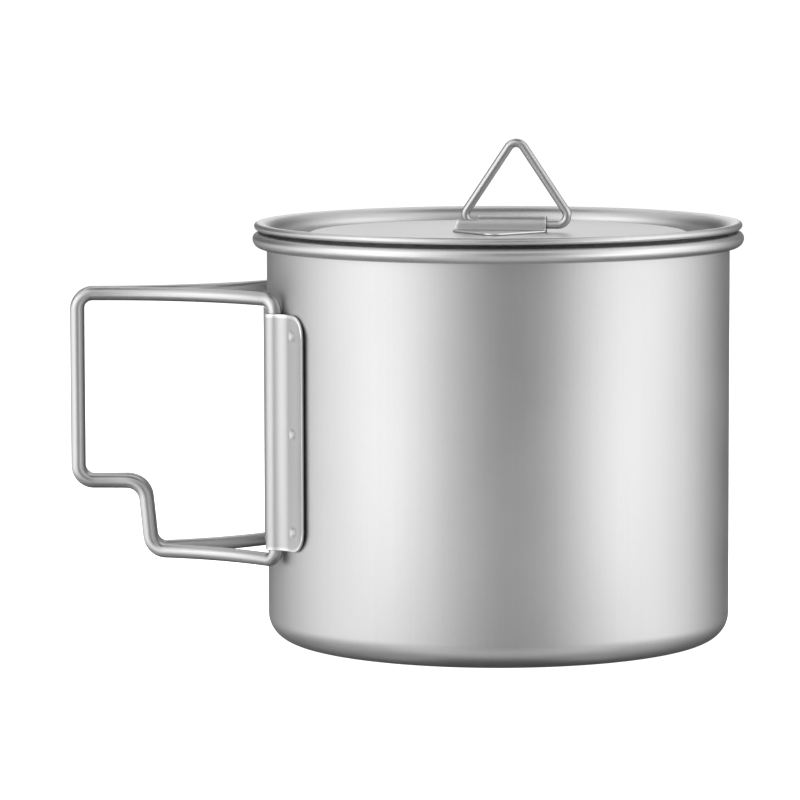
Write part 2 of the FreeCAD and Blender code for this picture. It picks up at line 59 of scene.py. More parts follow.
MM = 0.001  # a millimetre, in metres
ROUNDING = 1e-9  # what two sums of the same lengths may differ by
_, pot_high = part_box("pot_body")
_, lid_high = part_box("lid_pan")
_, clip_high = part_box("lid_clip")
bracket_low, bracket_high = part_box("handle_bracket")

# %% [markdown]
# ## Camera
#
# The pot is seen from the front and a little from above, from about ten times its own
# width away. A camera that far away with a long lens keeps the rims as flat ellipses. A
# near camera with a short lens would open them like a bowl, which is the usual mistake with
# a round pot.

# %% Camera
LENS = 217.7  # mm, on a sensor 36 mm wide
EYE = Vector((-20.4, -1000.0, 153.9)) * MM
LOOK_DOWN = math.radians(5.96)
HEAD_TILT = math.radians(-0.166)  # the horizon rises a touch to the right

camera_data = bpy.data.cameras.new("camera")
camera_data.lens = LENS
camera = bpy.data.objects.new("camera", camera_data)
bpy.context.scene.collection.objects.link(camera)
looking = Matrix.Rotation(math.pi / 2 - LOOK_DOWN, 4, "X")
camera.matrix_world = Matrix.Translation(EYE) @ looking @ Matrix.Rotation(HEAD_TILT, 4, "Z")
bpy.context.scene.camera = camera
print("camera at", tuple(round(number, 4) for number in EYE), "lens", LENS)

# %% [markdown]
# ## Studio
#
# Satin metal has hardly any colour of its own. It shows the studio, blurred. So the studio
# is built round the pot as rings of soft panels, bright at the left and the right, and dark
# behind the camera. The bright banks draw two upright bands on the pot, and the dark gap
# draws the grey band between them. One large light would be simpler, but its reflection
# would have a hard edge. Here each bank fades to nothing.
#
# The lower wall and the base's corner show what lies below the table's top, so the low banks
# go on down there in three dimmer rings. The ring at eye height has a third, narrow bank
# straight behind the pot, and the ceiling is brightest at the left, the right and the back.
# They light the lid. Bright patches on the table light the undersides of the rolled rims.
# The floor itself is plain and white, and only the camera sees it.

# %% Floor
FLOOR_HALF = 30.0  # m, far enough for the floor to meet the top of the view
FLOOR_TONE = 0.9
FLOOR_ROUGHNESS = 0.9
FLOOR_GLOW = 1.0  # enough to look plain white in any light

floor_mesh = bpy.data.meshes.new("floor")
corners = [(-1, -1), (1, -1), (1, 1), (-1, 1)]
floor_corners = [(x * FLOOR_HALF, y * FLOOR_HALF, 0) for x, y in corners]
floor_mesh.from_pydata(floor_corners, [], [(0, 1, 2, 3)])
floor = bpy.data.objects.new("floor", floor_mesh)
bpy.context.scene.collection.objects.link(floor)
floor.visible_glossy = False
floor.visible_shadow = False
floor_paint = bpy.data.materials.new("floor_paint")
floor_paint.use_nodes = True
floor_shader = floor_paint.node_tree.nodes["Principled BSDF"]
floor_shader.inputs["Base Color"].default_value = (FLOOR_TONE, FLOOR_TONE, FLOOR_TONE, 1)
floor_shader.inputs["Roughness"].default_value = FLOOR_ROUGHNESS
floor_shader.inputs["Emission Color"].default_value = (1, 1, 1, 1)
floor_shader.inputs["Emission Strength"].default_value = FLOOR_GLOW
floor_mesh.materials.append(floor_paint)
print("floor", 2 * FLOOR_HALF, "m wide")

# %% Panel helper
def panel(name, place, target, width, tall, brightness):
    """A flat soft light that faces its target. brightness doesn't depend on its size."""
    lamp = bpy.data.lights.new(name, "AREA")
    lamp.shape = "RECTANGLE"
    lamp.size = width
    lamp.size_y = tall
    lamp.energy = math.pi * width * tall * brightness
    holder = bpy.data.objects.new(name, lamp)
    bpy.context.scene.collection.objects.link(holder)
    holder.location = place
    holder.rotation_euler = (target - place).to_track_quat("-Z", "Y").to_euler()
    holder.visible_camera = False


# %% Light banks
# Bearings go round the pot in degrees: 0 is at the camera's side and 90 at the right. Each
# bank has the bearing of its middle, how far it fades out to each side, and its brightness.
# The ceiling's first bank goes all the way round, and is half as bright at the back.
LOW_BANKS = [(-75, 95, 1.65), (75, 75, 1.75)]
EYE_BANKS = [(-60, 68, 2.6), (75, 72, 2.15), (180, 25, 1.2)]
CEILING_BANKS = [(0, 360, 0.4), (180, 110, 0.45), (-60, 68, 0.5), (75, 72, 0.4)]
RINGS = [  # banks, radius, height of the middle, panel height, share of the brightness
    (LOW_BANKS, 0.8, -0.1, 0.4, 1.0),
    (LOW_BANKS, 0.8, -0.45, 0.3, 0.42),
    (LOW_BANKS, 0.45, -0.45, 0.2, 0.43),
    (LOW_BANKS, 0.22, -0.45, 0.25, 0.4),
    (EYE_BANKS, 0.8, 0.33, 0.46, 0.95),
]
CEILING_RADIUS = 0.5  # m
CEILING_HEIGHT = 0.62
CEILING_AIM = 0.1  # the height on the pot's axis that its panels face
CEILING_DEPTH = 0.45
CEILING_WIDTH = 0.8  # of a panel's width at a radius of 1 m, so that neighbours overlap
PANEL_STEP = 20  # degrees
TOO_DIM = 0.01  # a panel that would be darker than this is left out


def glow(banks, bearing):
    """How bright the banks are together at a bearing."""
    total = 0.0
    for middle, reach, brightness in banks:
        away = abs((bearing - middle + 180) % 360 - 180)
        total += brightness * math.cos(math.pi / 2 * min(away / reach, 1.0)) ** 2
    return total


wide = 2 * math.tan(math.radians(PANEL_STEP / 2))  # a panel's width at a radius of 1 m
for bearing in range(PANEL_STEP - 180, 181, PANEL_STEP):
    turn = math.radians(bearing)
    outward = Vector((math.sin(turn), -math.cos(turn), 0))
    for banks, radius, height, tall, share in RINGS:
        level = Vector((0, 0, height))
        brightness = share * glow(banks, bearing)
        if brightness > TOO_DIM:
            place = outward * radius + level
            panel("bank_light", place, level, wide * radius, tall, brightness)
    above = outward * CEILING_RADIUS + Vector((0, 0, CEILING_HEIGHT))
    below = Vector((0, 0, CEILING_AIM))
    brightness = glow(CEILING_BANKS, bearing)
    panel("ceiling_light", above, below, wide * CEILING_WIDTH, CEILING_DEPTH, brightness)
print(len(bpy.data.lights), "panels in", len(RINGS), "rings and the ceiling")

# %% Light from the table
TABLE_PATCHES = [  # across, towards the back, height, width, depth, brightness
    (-0.22, -0.2, -0.002, 0.2, 0.2, 1.25),
    (0.0, -0.2, -0.002, 0.2, 0.2, 0.45),
    (0.22, -0.2, -0.002, 0.2, 0.2, 1.3),
    (0.0, -0.09, -0.03, 0.14, 0.06, 0.5),
]
for across, back, height, width, depth, brightness in TABLE_PATCHES:
    place = Vector((across, back, height))
    panel("table_light", place, place + Vector((0, 0, 1)), width, depth, brightness)
print(len(TABLE_PATCHES), "table lights,", len(bpy.data.lights), "soft lights in all")

# %% Room
ROOM_LIGHT = 0.05

room = bpy.data.worlds.new("room")
bpy.context.scene.world = room
room.use_nodes = True
room_nodes = room.node_tree.nodes
room_nodes["Background"].inputs["Color"].default_value = (1, 1, 1, 1)
room_nodes["Background"].inputs["Strength"].default_value = ROOM_LIGHT
bpy.context.scene.view_settings.view_transform = "Standard"
print("room light", ROOM_LIGHT)

# %% [markdown]
# ## Blasted titanium
#
# The sheet and the wire are titanium, blasted with fine beads. Such a surface is neutral
# grey, with a grain of a few tenths of a millimetre, faint clouds where the blast was
# stronger, and a softer shine than polished metal. An image of it would look right at one
# size only, and would have to be laid round every bend. Noise in the material's own nodes
# gives the same grain everywhere.
#
# The pieces are blasted apart, so each has its own grey and its own shine. The bracket is
# the dullest, the drawn wires are smoother than the rolled sheets, and the melted welds are
# the smoothest. Where fingers and other pots rub, the grain is worn brighter and smoother.
# The upper half of each cut edge and the crown of the lid's roll are also painted brighter,
# as painted highlights. The mesh code writes both on the vertices as "wear_and_highlight",
# and the material reads that. The press leaves very faint upright streaks in the pot.

# %% Material helpers
WEAR_AND_HIGHLIGHT = "wear_and_highlight"
WEAR_AND_HIGHLIGHT_TONE = 0.45  # brighter where fully worn, and where a painted highlight is at full strength
WORN_SHINE = 0.12  # and less rough
GRAIN_SIZE = 0.28 * MM
GRAIN_SHINE = 0.05  # how much the roughness varies with the grain, to each side
CLOUD_SIZE = 14 * MM
CLOUD_SHINE = 0.03  # and with the clouds
CLOUD_MOTTLE = 0.5  # how much the clouds mottle the grey, as a share of what the grain does
STREAK_WIDTH = 0.9 * MM
STREAK_SQUEEZE = 0.012  # a streak's width over its length


def add_node(material, kind, **settings):
    """A new node with its settings."""
    node = material.node_tree.nodes.new(kind)
    for key, value in settings.items():
        setattr(node, key, value)
    return node


def link(material, source, target):
    material.node_tree.links.new(source, target)


def grain(material, place, size, detail=2.0, rough=0.5):
    """Noise whose spots are about size metres across. Returns its 0 to 1 output."""
    noise = add_node(material, "ShaderNodeTexNoise")
    noise.inputs["Scale"].default_value = 1.0 / size
    noise.inputs["Detail"].default_value = detail
    noise.inputs["Roughness"].default_value = rough
    link(material, place, noise.inputs["Vector"])
    return noise.outputs["Fac"]


def spread(material, source, low, high):
    """Stretch a 0 to 1 value to the range low to high."""
    stretch = add_node(material, "ShaderNodeMapRange")
    stretch.inputs["To Min"].default_value = low
    stretch.inputs["To Max"].default_value = high
    link(material, source, stretch.inputs["Value"])
    return stretch.outputs["Result"]


def combine(material, operation, first, second):
    """One maths step on two sockets, or on a socket and a number."""
    step = add_node(material, "ShaderNodeMath", operation=operation)
    for socket, value in zip(step.inputs, (first, second)):
        if isinstance(value, (int, float)):
            socket.default_value = value
        else:
            link(material, value, socket)
    return step.outputs["Value"]


def round_the_pot(material, place, squeeze):
    """Coordinates that run round the pot and are squeezed upright, for upright streaks."""
    split = add_node(material, "ShaderNodeSeparateXYZ")
    link(material, place, split.inputs["Vector"])
    flat = add_node(material, "ShaderNodeCombineXYZ")
    link(material, split.outputs["X"], flat.inputs["X"])
    link(material, split.outputs["Y"], flat.inputs["Y"])
    link(material, combine(material, "MULTIPLY", split.outputs["Z"], squeeze), flat.inputs["Z"])
    return flat.outputs["Vector"]


def blasted_titanium(name, grey, shine, grain_depth=0.006 * MM, mottle=0.03, streaks=0.0):
    """Satin titanium. grey is its brightness and shine its roughness, 0 for a mirror.

    grain_depth is how deep the grain is, mottle how much its brightness varies, and streaks
    how strong the upright streaks of a drawn wall are.
    """
    material = bpy.data.materials.new(name)
    material.use_nodes = True
    shader = material.node_tree.nodes["Principled BSDF"]
    shader.inputs["Metallic"].default_value = 1.0
    place = add_node(material, "ShaderNodeTexCoord").outputs["Object"]

    fine = grain(material, place, GRAIN_SIZE, detail=3.0, rough=0.6)
    clouds = grain(material, place, CLOUD_SIZE)
    wear_and_highlight = add_node(material, "ShaderNodeAttribute", attribute_name=WEAR_AND_HIGHLIGHT).outputs["Fac"]

    tone = combine(material, "ADD", spread(material, fine, -mottle, mottle),
                   spread(material, clouds, -CLOUD_MOTTLE * mottle, CLOUD_MOTTLE * mottle))
    # Wear and painted highlight: worn places, the upper half of cut edges and the lid roll's crown
    # are painted brighter here.
    tone = combine(material, "ADD", tone, spread(material, wear_and_highlight, 0.0, WEAR_AND_HIGHLIGHT_TONE))
    if streaks:
        upright_place = round_the_pot(material, place, STREAK_SQUEEZE)
        upright = grain(material, upright_place, STREAK_WIDTH, detail=3.0)
        tone = combine(material, "ADD", tone, spread(material, upright, -streaks, streaks))
    brightness = combine(material, "ADD", tone, grey)
    colour = add_node(material, "ShaderNodeCombineColor")
    for channel in ("Red", "Green", "Blue"):
        link(material, brightness, colour.inputs[channel])
    link(material, colour.outputs["Color"], shader.inputs["Base Color"])

    dull = combine(material, "ADD",
                   spread(material, clouds, shine - CLOUD_SHINE, shine + CLOUD_SHINE),
                   spread(material, wear_and_highlight, 0.0, -WORN_SHINE))
    dull = combine(material, "ADD", dull, spread(material, fine, -GRAIN_SHINE, GRAIN_SHINE))
    link(material, dull, shader.inputs["Roughness"])

    bump = add_node(material, "ShaderNodeBump")
    bump.inputs["Distance"].default_value = grain_depth
    bump.inputs["Strength"].default_value = 1.0
    link(material, fine, bump.inputs["Height"])
    link(material, bump.outputs["Normal"], shader.inputs["Normal"])
    print("finish", name, "grey", grey, "roughness", shine)
    return material


# %% Finishes
pot_finish = blasted_titanium("pot_finish", 0.50, 0.40, mottle=0.04, streaks=0.012)
lid_finish = blasted_titanium("lid_finish", 0.54, 0.40)
bracket_finish = blasted_titanium("bracket_finish", 0.50, 0.48)
clip_finish = blasted_titanium("clip_finish", 0.48, 0.44)
weld_finish = blasted_titanium("weld_finish", 0.62, 0.34, mottle=0.05)
handle_finish = blasted_titanium("handle_finish", 0.50, 0.38, grain_depth=0.003 * MM, mottle=0.02)
ring_finish = blasted_titanium("ring_finish", 0.49, 0.36, grain_depth=0.002 * MM, mottle=0.01)

# %% [markdown]
# ## Sheet metal as a strip
#
# The pot, the lid, the clip and the bracket are all one sheet that runs and bends. Each is
# drawn the way a press tool is drawn: a start, a heading, and a chain of straight runs and
# bends. Two lines, one sheet thickness apart, follow that chain, and a small half circle
# closes each cut edge, because a real cut edge is deburred and catches a thin line of light.
# A Solidify modifier would give the thickness too, but it would leave the cut edge square.

# %% Bending helpers
def turned(vector, angle):
    """A flat vector turned to the left by an angle in radians."""
    cos, sin = math.cos(angle), math.sin(angle)
    return Vector((vector.x * cos - vector.y * sin, vector.x * sin + vector.y * cos))


def run(length, pieces):
    """A straight step of a chain, drawn in so many pieces."""
    return ("run", length, 0.0, pieces)


def bend(radius, degrees, pieces):
    """A step that turns left by some degrees, or right if they are negative."""
    return ("bend", radius, math.radians(degrees), pieces)


def follow(start, heading, steps, side=0.0):
    """Points and left-hand normals of a line that keeps side metres to the chain's left."""
    here = Vector(start)
    ahead = turned(Vector((1.0, 0.0)), math.radians(heading))
    left = turned(ahead, math.pi / 2)
    line = [(here + left * side, left)]
    for kind, size, turn, pieces in steps:
        if kind == "run":
            for index in range(1, pieces + 1):
                line.append((here + ahead * (size * index / pieces) + left * side, left))
            here = here + ahead * size
            continue
        centre = here + left * math.copysign(size, turn)
        spoke = here - centre
        for index in range(1, pieces + 1):
            part = turn * index / pieces
            normal = turned(left, part)
            line.append((centre + turned(spoke, part) + normal * side, normal))
        here = centre + turned(spoke, turn)
        ahead, left = turned(ahead, turn), turned(left, turn)
    return line


# %% Strip section helper
CAP_PIECES = 6  # in the half circle that closes a cut edge


def strip_section(start, heading, steps, thickness):
    """The closed outline of a bent sheet with rounded cut edges. Steps follow its right side."""
    half = thickness / 2
    right = [point for point, _ in follow(start, heading, steps)]
    left = [point for point, _ in follow(start, heading, steps, thickness)]
    middle = follow(start, heading, steps, half)

    def cap(centre, spoke):
        turns = range(1, CAP_PIECES)
        return [centre + turned(spoke, math.pi * index / CAP_PIECES) for index in turns]

    end, end_normal = middle[-1]
    first, first_normal = middle[0]
    return right + cap(end, end_normal * -half) + left[::-1] + cap(first, first_normal * half)


def piece(name, mesh, body, finish, stands_for):
    """Put a mesh in the scene as one piece on its body, in place of its CAD node."""
    item = bpy.data.objects.new(name, mesh)
    bpy.context.scene.collection.objects.link(item)
    mesh.materials.append(finish)
    mesh.shade_smooth()
    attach(item, body)
    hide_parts(stands_for)
    size = [round(number / MM, 2) for number in item.dimensions]
    print(name, len(mesh.vertices), "vertices", size, "mm")


def mark_wear_and_highlight(mesh, amount):
    """Write on each vertex how much it is worn and painted with a highlight, from 0 to 1, as the
    material's wear_and_highlight.
    """
    layer = mesh.attributes.new(WEAR_AND_HIGHLIGHT, "FLOAT", "POINT")
    for vertex in mesh.vertices:
        layer.data[vertex.index].value = max(0.0, min(1.0, amount(vertex.co)))


def finished_mesh(name, shape):
    """A mesh of what was drawn, with every face looking outwards."""
    bmesh.ops.recalc_face_normals(shape, faces=shape.faces)
    mesh = bpy.data.meshes.new(name)
    shape.to_mesh(mesh)
    shape.free()
    return mesh


# %% Lathe helper
AROUND = 256  # vertices round a turned piece
ON_AXIS = 1e-7  # m, a point nearer to the axis than this lies on it


def lathe(name, outline):
    """Turn a closed outline of radius and height once round the Z axis.

    Points on the axis become one vertex, so that the middle of a base is clean.
    """
    shape = bmesh.new()
    columns = []
    for radius, height in outline:
        if radius < ON_AXIS:
            vertex = shape.verts.new((0, 0, height))
            columns.append([vertex] * AROUND)
            continue
        ring = []
        for index in range(AROUND):
            angle = 2 * math.pi * index / AROUND
            across, back = radius * math.cos(angle), radius * math.sin(angle)
            ring.append(shape.verts.new((across, back, height)))
        columns.append(ring)
    for here, there in zip(columns, columns[1:] + columns[:1]):
        for index in range(AROUND):
            following = (index + 1) % AROUND
            quad = [here[index], here[following], there[following], there[index]]
            corners = list(dict.fromkeys(quad))
            if len(corners) > 2:
                shape.faces.new(corners)
    return finished_mesh(name, shape)


def tidy_axis(outline):
    """Drop the rounded end at the axis, where the sheet has no cut edge, and close it flat."""
    return [(max(point.x, 0.0), point.y) for point in outline if point.x > -ROUNDING]


# %% [markdown]
# ## The pot
#
# The pot is deep-drawn from one disc of 0.4 mm sheet. Its rim is rolled outwards and down
# until the cut edge hides under the roll, which makes the thin wall stiff and kind to lips.
# Its mesh could be made from a cylinder with bevels. A turned section is better, because
# every round of the roll is then a named radius: the section is drawn once and turned round
# the axis. It follows the sheet's underside from the middle of the base, round the corner,
# up the wall and into the roll.

# %% Pot section
POT_SHEET = 0.4 * MM
RIM_REACH = 2.95 * MM  # how far the rolled rim stands out from the wall
WALL_RADIUS = pot_high.x - RIM_REACH
BASE_CORNER = 5.4 * MM
ROLL_CROWN = 1.3 * MM
ROLL_BELLY = 1.8 * MM
ROLL_TUCK = 30  # degrees that the cut edge is rolled on past the roll's underside


def rolled_edge(inner, outer, crown, belly, sheet):
    """The steps of an edge rolled outwards and down, as the sheet's underside sees them.

    inner and outer are the radii at which it starts and is widest, and crown and belly are
    the roll's own radii above and below that. The first step's radius comes back too.
    """
    wide = outer - crown - inner
    steps = [bend(wide, -90, 14), bend(crown - sheet, -90, 12),
             bend(belly - sheet, -90, 12), bend(belly - sheet, -ROLL_TUCK, 5)]
    return wide, steps


pot_wide, pot_roll = rolled_edge(WALL_RADIUS, pot_high.x, ROLL_CROWN, ROLL_BELLY, POT_SHEET)
wall_run = pot_high.z - POT_SHEET - pot_wide - BASE_CORNER
pot_steps = [run(WALL_RADIUS - BASE_CORNER, 12), bend(BASE_CORNER, 90, 20), run(wall_run, 30)]
pot_outline = strip_section((0, 0), 0, pot_steps + pot_roll, POT_SHEET)
print("pot section", len(pot_outline), "points, wall radius", round(WALL_RADIUS / MM, 2), "mm")

# %% Pot
ROLL_WEAR_AND_HIGHLIGHT = 0.17  # a rolled rim is worn, and on the lid painted with a highlight, much less than a cut edge
WORN_CORNER = 0.7  # of the roll's wear, on the corner that the pot is set down on
CORNER_HEIGHT = 1.2 * MM  # where that corner is worn most
CORNER_REACH = 1.4 * MM  # how far above and below that its wear ends
CORNER_INSIDE = 40 * MM  # the radius at which the flat base ends


def pot_rub(place):
    """How worn the pot is: most at the widest line of its roll, and some at its corner."""
    radius = math.hypot(place.x, place.y)
    on_roll = max(0.0, (radius - WALL_RADIUS) / (pot_high.x - WALL_RADIUS))
    on_corner = 1 - abs(place.z - CORNER_HEIGHT) / CORNER_REACH if radius > CORNER_INSIDE else 0.0
    return ROLL_WEAR_AND_HIGHLIGHT * max(on_roll ** 2, on_corner * WORN_CORNER)


pot_mesh = lathe("pot_body", tidy_axis(pot_outline))
mark_wear_and_highlight(pot_mesh, pot_rub)
piece("pot_drawn_body", pot_mesh, "pot", pot_finish, "pot_body")

# %% [markdown]
# ## The lid
#
# The lid is pressed from the same sheet. Its rolled edge sits on the pot's roll, its skirt
# drops into the mouth, and the flat middle is raised again above a groove, so that the clip
# and the ring don't stand higher than they need. It is turned for the same reason as the
# pot, from the middle outwards.

# %% Lid section
LID_SHEET = 0.4 * MM
LID_ROLL = 0.75 * MM  # radius
LID_PLAY = 0.3 * MM  # between the skirt and the pot's wall
SKIRT_RADIUS = WALL_RADIUS - POT_SHEET - LID_PLAY
LID_BEND = 0.6 * MM  # inside radius
GROOVE_SLOPE = 60  # degrees
PLATEAU_RADIUS = 38.6 * MM
PLATEAU_DROP = 2.25 * MM  # from the roll's crown to the flat middle
GROOVE_DEPTH = 2.95 * MM

lid_wide, lid_roll = rolled_edge(SKIRT_RADIUS, lid_high.x, LID_ROLL, LID_ROLL, LID_SHEET)
outer_bend = LID_BEND + LID_SHEET
slope = math.radians(GROOVE_SLOPE)
both_bends = LID_BEND + outer_bend
slope_run = (GROOVE_DEPTH - both_bends * (1 - math.cos(slope))) / math.sin(slope)
slope_width = both_bends * math.sin(slope) + slope_run * math.cos(slope)
lid_steps = [
    run(PLATEAU_RADIUS, 12),
    bend(LID_BEND, -GROOVE_SLOPE, 8),
    run(slope_run, 2),
    bend(outer_bend, GROOVE_SLOPE, 8),
    run(SKIRT_RADIUS - outer_bend - slope_width - PLATEAU_RADIUS, 3),
    bend(outer_bend, 90, 10),
    run(PLATEAU_DROP + GROOVE_DEPTH - lid_wide - outer_bend, 3),
]
plateau_top = lid_high.z - PLATEAU_DROP
lid_outline = strip_section((0, plateau_top - LID_SHEET), 0, lid_steps + lid_roll, LID_SHEET)
print("lid section", len(lid_outline), "points, flat middle at", round(plateau_top / MM, 2), "mm")

# %% Lid
CROWN_WEAR_AND_HIGHLIGHT_REACH = 0.5 * MM  # how far down from the roll's crown the wear and the painted highlight end


def lid_wear_and_highlight(place):
    """How worn the lid is and where it has a painted highlight: only the crown of its roll, which
    is stacked and wiped, and is painted brighter there as a highlight.
    """
    below_crown = lid_high.z - place.z
    on_roll = math.hypot(place.x, place.y) > SKIRT_RADIUS
    return ROLL_WEAR_AND_HIGHLIGHT * max(0.0, 1 - below_crown / CROWN_WEAR_AND_HIGHLIGHT_REACH) if on_roll else 0.0


lid_mesh = lathe("lid_pan", tidy_axis(lid_outline))
mark_wear_and_highlight(lid_mesh, lid_wear_and_highlight)
piece("lid_pressing", lid_mesh, "lid", lid_finish, "lid_pan")

# %% [markdown]
# ## Bent sheet with a real edge
#
# The bracket and the clip are sheet too, but they aren't round. Each can be thought of as a
# flat blank that is then bent. A point of the blank has two numbers, how far along the bends
# it lies and how far across, and a third says how far it lies above the sheet's middle. The
# blank's grid is drawn once for the upper face, once for the lower face, and a few times
# round its rim, each time a little less inset, which makes the soft deburred edge. A bevel
# modifier could round the rim as well, but this way the blank's own corners and notches
# stay exact, and a pressed dent can be put into one face.

# %% Bent line helper
class BentLine:
    """The middle line of a bent sheet, which gives a place for any length along it.

    flare says how far the sheet has sprung off its true line at a length along it.
    """

    def __init__(self, start, heading, steps, thickness, flare=None):
        self.flare = flare or (lambda along: 0.0)
        self.stops = follow(start, heading, steps, thickness / 2)
        self.marks = [0.0]
        for (here, _), (there, _) in zip(self.stops, self.stops[1:]):
            self.marks.append(self.marks[-1] + (there - here).length)
        self.length = self.marks[-1]

    def at(self, along, lift):
        """The point that lies along the line and lift above it, on its left."""
        index = min(max(bisect.bisect_right(self.marks, along) - 1, 0), len(self.marks) - 2)
        low, high = self.marks[index], self.marks[index + 1]
        share = (along - low) / (high - low)
        point = self.stops[index][0].lerp(self.stops[index + 1][0], share)
        normal = self.stops[index][1].lerp(self.stops[index + 1][1], share).normalized()
        return point + normal * (lift + self.flare(along))


# %% Bent sheet helper
EDGE_ROUND = 0.2 * MM  # radius of a deburred edge
EDGE_STEPS = 3
FACE_WEAR_AND_HIGHLIGHT = 0.8  # of the rim's wear and painted highlight, where the upper face meets it


def rim_profile(half, radius):
    """Inset and lift of each ring of the sheet's rim, from the upper face to the lower."""
    upper = []
    for index in range(EDGE_STEPS + 1):
        angle = math.pi / 2 * index / EDGE_STEPS
        inset = radius * (1 - math.sin(angle))
        upper.append((inset, half - radius * (1 - math.cos(angle))))
    return upper + [(inset, -lift) for inset, lift in reversed(upper)]


def bent_sheet(name, line, thickness, rows, columns, blank, place, missing=None, dent=None,
               edge_wear_and_highlight=1.0):
    """The mesh of a bent sheet.

    blank(row, column, inset) gives how far along and across a grid point lies. place turns
    a point of the section and an across value into a place in space. missing says which
    cells are cut out, dent lowers the upper face, and edge_wear_and_highlight is how worn the
    upper half of the rim is and how bright a painted highlight makes it; the lower half of the
    rim gets neither.
    """
    half = thickness / 2
    rings = rim_profile(half, EDGE_ROUND)
    cells = [(row, column) for row in range(rows - 1) for column in range(columns - 1)
             if not (missing and missing(row, column))]
    loops = [[(r, c), (r + 1, c), (r + 1, c + 1), (r, c + 1)] for r, c in cells]
    sides = {(a, b) for loop in loops for a, b in zip(loop, loop[1:] + loop[:1])}
    rim = [(a, b) for a, b in sides if (b, a) not in sides]
    rim_points = {point for side in rim for point in side}
    face_points = sorted({point for loop in loops for point in loop})

    shape = bmesh.new()
    wear_and_highlight_layer = shape.verts.layers.float.new(WEAR_AND_HIGHLIGHT)

    def draw(points, inset, lift, wear_and_highlight_share, upper=False):
        """One layer of vertices, by the grid point that each stands for."""
        drawn = {}
        for point in points:
            along, across = blank(*point, inset)
            height = lift - dent(along, across) if upper and dent else lift
            drawn[point] = shape.verts.new(place(line.at(along, height), across))
            drawn[point][wear_and_highlight_layer] = wear_and_highlight_share if point in rim_points else 0.0
        return drawn

    layers = [draw(face_points, *rings[0], FACE_WEAR_AND_HIGHLIGHT * edge_wear_and_highlight, upper=True)]
    for inset, lift in rings[1:-1]:
        # Only the rim's upper half gets the wear and the painted highlight, so the highlight sits
        # on top of each cut edge.
        layers.append(draw(sorted(rim_points), inset, lift, edge_wear_and_highlight if lift > 0 else 0.0))
    layers.append(draw(face_points, *rings[-1], 0.0))
    for loop in loops:
        shape.faces.new([layers[0][point] for point in loop])
        shape.faces.new([layers[-1][point] for point in reversed(loop)])
    for above, below in zip(layers, layers[1:]):
        for a, b in sorted(rim):
            shape.faces.new([above[b], above[a], below[a], below[b]])
    return finished_mesh(name, shape)


# %% Grid helper
def stops_between(low, high, step):
    """Evenly spaced numbers from low up to but without high, at most step apart."""
    count = max(1, math.ceil((high - low) / step - ROUNDING))
    return [low + (high - low) * index / count for index in range(count)]


# %% [markdown]
# ## Spot welds
#
# A spot weld is where two electrodes squeeze the sheets and melt them together. On the
# outside it leaves a small round dent with a slightly proud lip, and a nugget in its floor
# that has melted and is smoother and brighter than the blasted sheet. A dark ring in the
# material would give the dent from one side only, so it is pressed into the sheet's face.
# The nugget is a thin dished disc that lies in the dent.

# %% Weld dent
DENT_RADIUS = 1.3 * MM
DENT_DEPTH = 0.3 * MM
DENT_FLOOR = 0.4 * MM  # radius of its flat floor
DENT_LIP = 0.03 * MM  # height of the lip round it
LIP_CREST = 1.1 * DENT_RADIUS
LIP_WIDTH = 0.2 * DENT_RADIUS
DENT_END = 2.5 * DENT_RADIUS  # beyond this the sheet is as it was


def smooth_step(value, low, high):
    """A soft climb from 0 at low to 1 at high."""
    share = min(max((value - low) / (high - low), 0.0), 1.0)
    return share * share * (3 - 2 * share)


def weld_dent(distance):
    """How far a face is pushed in at this distance from a weld's middle."""
    if distance >= DENT_END:
        return 0.0
    bowl = DENT_DEPTH * (1 - smooth_step(distance, DENT_FLOOR, DENT_RADIUS))
    lip = math.exp(-((distance - LIP_CREST) / LIP_WIDTH) ** 2)
    return bowl - DENT_LIP * lip


print("weld dents", round(2 * DENT_RADIUS / MM, 2), "mm wide")

# %% Weld nugget helper
NUGGET_RADIUS = 0.72 * MM
NUGGET_LIFT = 0.035 * MM  # of its middle
NUGGET_DISH = 0.02 * MM  # from its middle up to its edge
NUGGET_EDGE = [(1.0, 0.03 * MM), (1.02, -0.05 * MM), (0.9, -0.12 * MM)]  # share of radius, lift
NUGGET_RINGS = 6
NUGGET_AROUND = 32


def nuggets(name, places):
    """Dished discs. Each place is a weld's middle, its outward direction and a side to it."""
    shape = bmesh.new()
    shares = [index / NUGGET_RINGS for index in range(1, NUGGET_RINGS)]
    profile = [(NUGGET_RADIUS * share, NUGGET_LIFT + NUGGET_DISH * share ** 2) for share in shares]
    profile += [(NUGGET_RADIUS * share, lift) for share, lift in NUGGET_EDGE]
    for middle, outward, aside in places:
        along = outward.cross(aside)
        previous = None
        top = shape.verts.new(middle + outward * NUGGET_LIFT)
        for out, lift in profile:
            ring = []
            for index in range(NUGGET_AROUND):
                angle = 2 * math.pi * index / NUGGET_AROUND
                spoke = aside * math.cos(angle) + along * math.sin(angle)
                ring.append(shape.verts.new(middle + spoke * out + outward * lift))
            for index, here in enumerate(ring):
                following = (index + 1) % NUGGET_AROUND
                if previous is None:
                    shape.faces.new([top, here, ring[following]])
                else:
                    inner, inner_following = previous[index], previous[following]
                    shape.faces.new([inner, here, ring[following], inner_following])
            previous = ring
        shape.faces.new(previous)
    return finished_mesh(name, shape)


# %% [markdown]
# ## The hinge bracket
#
# One sheet hugs the wall, makes a barrel round each handle's hinge pin, and ends in a
# flange with round corners on each side. Three welds hold each flange. Seen from above its
# section is an omega with two loops. A plate and two tubes would be simpler, but there would
# be a seam where the real sheet bends over, so it is one bent line pulled along Z. The place
# of each bend follows from a triangle between the pot's axis, the pin and the bend's middle.

